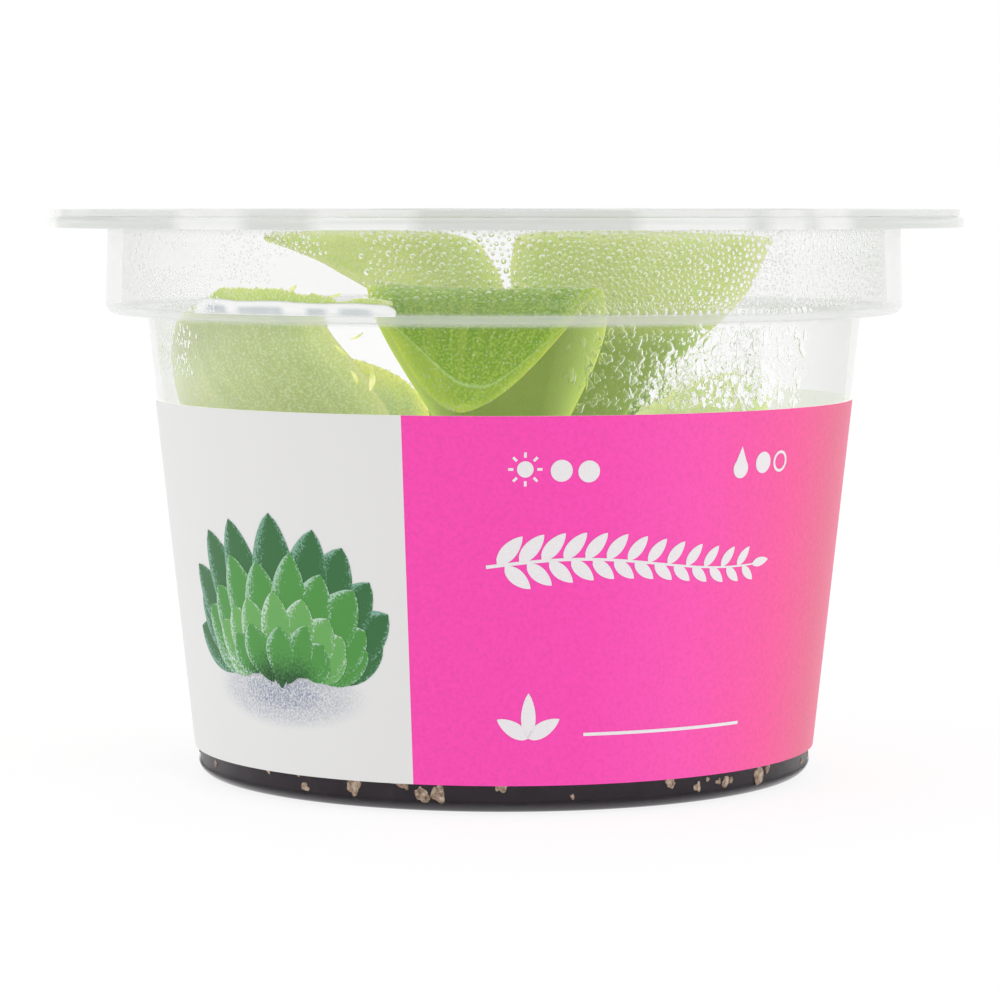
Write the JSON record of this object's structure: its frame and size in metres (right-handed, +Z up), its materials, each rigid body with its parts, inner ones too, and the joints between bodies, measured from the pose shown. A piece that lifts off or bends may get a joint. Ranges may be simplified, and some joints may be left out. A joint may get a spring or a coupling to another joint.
{
  "type": "potted butterwort",
  "caption": "Butterwort with broad, soft leaves growing on dark gel in a clear, sealed, flanged cup with a wrapped label.",
  "frame": {"origin": "centre of the foot, on the surface it stands on", "axes": "+Z up out of the cup; -Y towards the front of the label; +X to the right seen from the front"},
  "size_m": [0.0942, 0.0942, 0.0577],
  "materials": {
    "clear_plastic": "clear, glossy",
    "clear_film": "clear, glossy, slightly rippled",
    "printed_label": "satin print, magenta-pink and white",
    "dark_gel": "dark, moist gel",
    "crown_green": "soft, moist plant tissue",
    "leaf_green": "soft, glistening leaf"
  },
  "bodies": {
    "root": {"cup": "clear_plastic", "lid_film": "clear_film", "label": "printed_label", "growing_gel": "dark_gel", "crown": "crown_green", "leaf_front_left": "leaf_green", "leaf_left": "leaf_green", "leaf_centre": "leaf_green", "leaf_right": "leaf_green", "leaf_upper_left": "leaf_green", "leaf_front_right": "leaf_green", "leaf_back_left": "leaf_green", "leaf_back": "leaf_green", "leaf_back_right": "leaf_green", "leaf_low_right": "leaf_green", "leaf_low_back_right": "leaf_green", "leaf_low_front": "leaf_green"}
  },
  "joints": []
}
